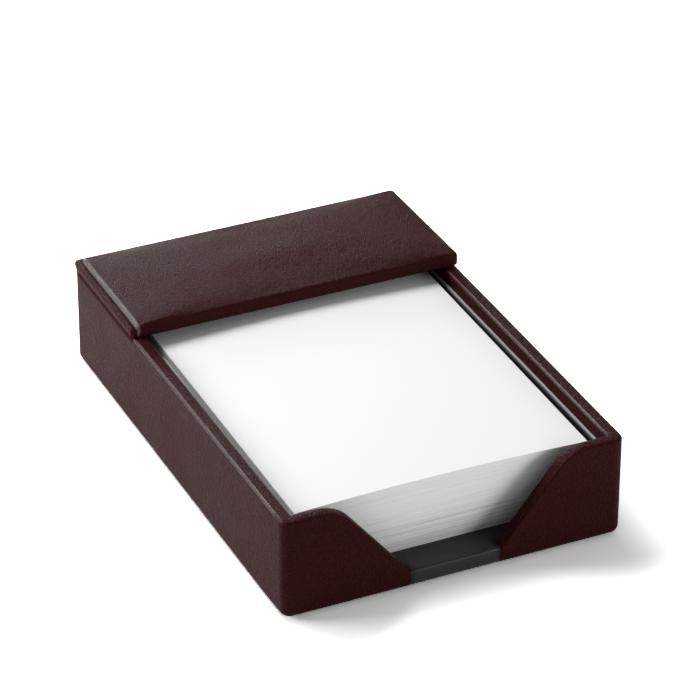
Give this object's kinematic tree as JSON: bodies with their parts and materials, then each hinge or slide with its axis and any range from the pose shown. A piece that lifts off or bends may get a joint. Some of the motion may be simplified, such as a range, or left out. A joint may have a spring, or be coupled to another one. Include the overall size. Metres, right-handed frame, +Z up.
{
  "type": "memo sheet holder",
  "caption": "Leather-covered desk tray for loose memo sheets, with a scooped front, a charcoal-lined lip and a padded rear lid that lifts on a leather hinge.",
  "frame": {"origin": "on the table, under the middle of the holder", "axes": "+X to the right along the scooped front, +Y to the back, where the lid is, +Z up"},
  "size_m": [0.1196, 0.176, 0.0423],
  "materials": {
    "brown_leather": "satin",
    "charcoal_lining": "matte",
    "board": "matte",
    "card": "matte",
    "felt": "matte",
    "foam": "matte",
    "paper": "matte"
  },
  "bodies": {
    "tray": {"base_felt": "felt", "bottom_card": "card", "base_board": "board", "left_wall_board": "board", "right_wall_board": "board", "back_wall_board": "board", "front_left_board": "board", "front_right_board": "board", "leather_wrap": "brown_leather", "floor_lining": "charcoal_lining", "left_lining": "charcoal_lining", "right_lining": "charcoal_lining", "back_lining": "charcoal_lining", "front_left_lining": "charcoal_lining", "front_right_lining": "charcoal_lining", "hinge_tray_leaf": "brown_leather"},
    "lid": {"lid_lower_board": "board", "lid_lower_leather": "brown_leather", "lid_pad_board": "board", "lid_foam": "foam", "lid_pad_leather": "brown_leather", "lid_lining": "charcoal_lining", "hinge_lid_leaf": "brown_leather"},
    "sheets": {"memo_sheets": "paper"}
  },
  "joints": [
    {"name": "lid_hinge", "type": "hinge", "parent": "tray", "child": "lid", "pos_m": [0, 0.088, 0.0367], "axis": [-1, 0, 0], "range_deg": [0, 110]},
    {"name": "sheet_slide", "type": "slide", "parent": "tray", "child": "sheets", "axis": [0, 1, 0], "range_m": [-0.004, 0.0055]}
  ]
}
